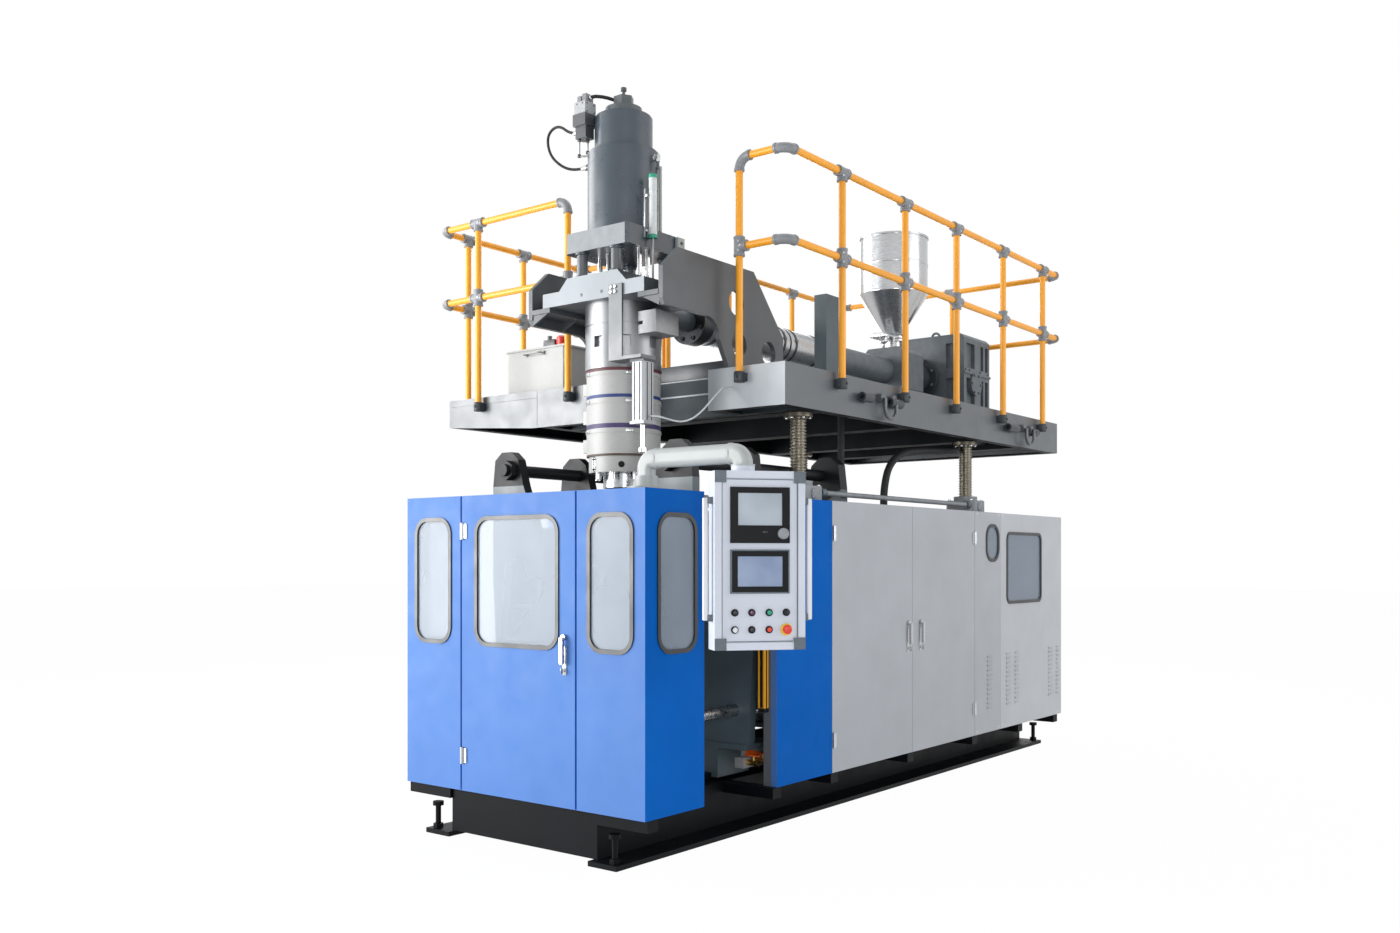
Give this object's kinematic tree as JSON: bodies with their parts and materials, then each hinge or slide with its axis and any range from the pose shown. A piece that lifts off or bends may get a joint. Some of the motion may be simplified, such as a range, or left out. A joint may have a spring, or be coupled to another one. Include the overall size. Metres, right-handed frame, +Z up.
{
  "type": "blow molding machine",
  "caption": "Guarded blow molding machine: horizontal mould clamp, lifting extruder platform with accumulator head and hopper, handrails and a swivel control pendant.",
  "frame": {"origin": "on the floor at the centre of the four anchor bolt holes in the skid plates", "axes": "+Z up, -Y towards the operator's door, +X towards the cabinet doors"},
  "size_m": [3.5069, 5.282, 4.241],
  "materials": {
    "base_black": "black enamel on welded steel",
    "guard_blue": "blue powder coat on folded sheet",
    "cabinet_grey": "light grey powder coat on folded sheet",
    "frame_grey": "dark grey enamel on steel tube",
    "seal_rubber": "extruded rubber window seal",
    "clear_sheet": "clear polycarbonate sheet",
    "curtain_yellow": "yellow coat on aluminium profile",
    "jack_grey": "grey enamel on cast housing",
    "lever_zinc": "plated die casting",
    "clamp_black": "black enamel on machined plate",
    "ground_steel": "hard chromed bar",
    "platform_grey": "dark grey enamel on channel beams",
    "rail_orange": "yellow-orange enamel on tube",
    "fitting_grey": "galvanised malleable casting",
    "cylinder_grey": "blue-grey enamel on turned steel",
    "head_steel": "machined tool steel",
    "cover_steel": "bright stainless sheet",
    "screw_steel": "oiled lift screw",
    "valve_mixed": "valve blocks",
    "pendant_white": "coated aluminium box",
    "arm_white": "off-white powder coat",
    "display_black": "moulded bezel",
    "button_black": "moulded button",
    "button_green": "moulded button",
    "button_red": "moulded button",
    "switch_white": "moulded switch",
    "hose_black": "black hose",
    "tube_clear": "clear air tube"
  },
  "bodies": {
    "frame": {"base_frame": "base_black", "front_guards": "guard_blue", "guard_side_panels": "guard_blue", "cabinet_panels": "cabinet_grey", "window_seals": "seal_rubber", "window_panes": "clear_sheet", "enclosure_frame": "frame_grey", "light_curtains": "curtain_yellow", "lift_jacks": "jack_grey", "pendant_base": "arm_white", "cabinet_equipment": "frame_grey"},
    "front_door": {"front_door": "guard_blue", "front_door_seal": "seal_rubber", "front_door_pane": "clear_sheet"},
    "front_lever": {"front_door_handle": "lever_zinc"},
    "cabinet_door_front": {"cabinet_door_front": "cabinet_grey"},
    "cabinet_lever_front": {"cabinet_handle_front": "lever_zinc"},
    "cabinet_door_rear": {"cabinet_door_rear": "cabinet_grey"},
    "cabinet_lever_rear": {"cabinet_handle_rear": "lever_zinc"},
    "clamp_front": {"front_platen": "clamp_black", "tie_bars": "ground_steel", "tail_plate": "clamp_black"},
    "clamp_rear": {"rear_platen": "clamp_black", "water_manifold": "valve_mixed"},
    "platform": {"platform_frame": "platform_grey", "lift_screws": "screw_steel", "handrail_tubes": "rail_orange", "handrail_fittings": "fitting_grey", "gooseneck_plates": "platform_grey", "head_saddle": "cylinder_grey", "ram_cylinder": "cylinder_grey", "servo_valve": "valve_mixed", "head_barrel": "head_steel", "heater_covers": "cover_steel", "head_fittings": "cover_steel", "extruder_barrel": "cylinder_grey", "barrel_covers": "cover_steel", "hopper": "cover_steel", "gearbox": "cylinder_grey", "drive_motor": "cylinder_grey", "tool_bin": "cover_steel", "servo_hose": "hose_black", "conduit_hose": "hose_black", "cable_hose": "hose_black", "air_tube": "tube_clear"},
    "ram": {"ram_rod": "ground_steel"},
    "core": {"die_core": "ground_steel"},
    "knife": {"knife_rod": "ground_steel"},
    "gate": {"hopper_gate": "cover_steel"},
    "arm": {"pendant_arm": "arm_white"},
    "pendant": {"pendant_box": "pendant_white", "pendant_displays": "display_black"},
    "knob": {"control_knob": "display_black"},
    "button_black_upper": {"button_black_upper": "button_black"},
    "button_green": {"button_green": "button_green"},
    "key": {"key_switch": "button_black"},
    "selector": {"selector_switch": "switch_white"},
    "button_black_lower": {"button_black_lower": "button_black"},
    "button_red": {"button_red": "button_red"},
    "stop": {"emergency_stop": "button_red"}
  },
  "joints": [
    {"name": "front_door_swing", "type": "hinge", "parent": "frame", "child": "front_door", "pos_m": [-0.415, -2.629, 1.064], "axis": [0, 0, -1], "range_deg": [0, 100]},
    {"name": "front_lever_turn", "type": "hinge", "parent": "front_door", "child": "front_lever", "pos_m": [0.353, -2.62, 1.126], "axis": [0, 1, 0], "range_deg": [0, 90]},
    {"name": "cabinet_front_swing", "type": "hinge", "parent": "frame", "child": "cabinet_door_front", "pos_m": [0.894, -0.919, 1.064], "axis": [0, 0, -1], "range_deg": [0, 110]},
    {"name": "cabinet_front_lever_turn", "type": "hinge", "parent": "cabinet_door_front", "child": "cabinet_lever_front", "pos_m": [0.885, -0.002, 1.108], "axis": [-1, 0, 0], "range_deg": [0, 90]},
    {"name": "cabinet_rear_swing", "type": "hinge", "parent": "frame", "child": "cabinet_door_rear", "pos_m": [0.894, 0.987, 1.064], "axis": [0, 0, 1], "range_deg": [0, 110]},
    {"name": "cabinet_rear_lever_turn", "type": "hinge", "parent": "cabinet_door_rear", "child": "cabinet_lever_rear", "pos_m": [0.885, 0.167, 1.108], "axis": [1, 0, 0], "range_deg": [0, 90]},
    {"name": "clamp_front_close", "type": "slide", "parent": "frame", "child": "clamp_front", "axis": [0, 1, 0], "range_m": [0, 0.17]},
    {"name": "clamp_rear_close", "type": "slide", "parent": "frame", "child": "clamp_rear", "axis": [0, -1, 0], "range_m": [0, 0.17]},
    {"name": "platform_lift", "type": "slide", "parent": "frame", "child": "platform", "axis": [0, 0, 1], "range_m": [-0.1, 0.15]},
    {"name": "ram_stroke", "type": "slide", "parent": "platform", "child": "ram", "axis": [0, 0, 1], "range_m": [0, 0.14]},
    {"name": "core_stroke", "type": "slide", "parent": "platform", "child": "core", "axis": [0, 0, 1], "range_m": [0, 0.02]},
    {"name": "knife_stroke", "type": "slide", "parent": "platform", "child": "knife", "axis": [0, 0, 1], "range_m": [0, 0.12]},
    {"name": "gate_slide", "type": "slide", "parent": "platform", "child": "gate", "axis": [0, -1, 0], "range_m": [0, 0.14]},
    {"name": "arm_swivel", "type": "hinge", "parent": "frame", "child": "arm", "pos_m": [0.69, -2.38, 1.95], "axis": [0, 0, 1], "range_deg": [-90, 20]},
    {"name": "pendant_swivel", "type": "hinge", "parent": "arm", "child": "pendant", "pos_m": [1.28, -2.37, 1.96], "axis": [0, 0, 1], "range_deg": [-45, 45]},
    {"name": "knob_turn", "type": "hinge", "parent": "pendant", "child": "knob", "pos_m": [1.44994, -2.28801, 1.64], "axis": [0.7741, -0.6331, 0], "continuous": true},
    {"name": "button_black_upper_press", "type": "slide", "parent": "pendant", "child": "button_black_upper", "axis": [-0.7741, 0.6331, 0], "range_m": [0, 0.004], "stiffness_N_per_m": 400},
    {"name": "button_green_press", "type": "slide", "parent": "pendant", "child": "button_green", "axis": [-0.7741, 0.6331, 0], "range_m": [0, 0.004], "stiffness_N_per_m": 400},
    {"name": "button_black_lower_press", "type": "slide", "parent": "pendant", "child": "button_black_lower", "axis": [-0.7741, 0.6331, 0], "range_m": [0, 0.004], "stiffness_N_per_m": 400},
    {"name": "button_red_press", "type": "slide", "parent": "pendant", "child": "button_red", "axis": [-0.7741, 0.6331, 0], "range_m": [0, 0.004], "stiffness_N_per_m": 400},
    {"name": "stop_press", "type": "slide", "parent": "pendant", "child": "stop", "axis": [-0.7741, 0.6331, 0], "range_m": [0, 0.005], "stiffness_N_per_m": 800},
    {"name": "key_turn", "type": "hinge", "parent": "pendant", "child": "key", "pos_m": [1.46133, -2.27407, 1.27], "axis": [0.7741, -0.6331, 0], "range_deg": [0, 90]},
    {"name": "selector_turn", "type": "hinge", "parent": "pendant", "child": "selector", "pos_m": [1.30308, -2.46757, 1.19], "axis": [0.7741, -0.6331, 0], "range_deg": [-45, 45]}
  ],
  "couplings": [
    {"joint": "clamp_rear_close", "follows": "clamp_front_close", "ratio": 1}
  ]
}
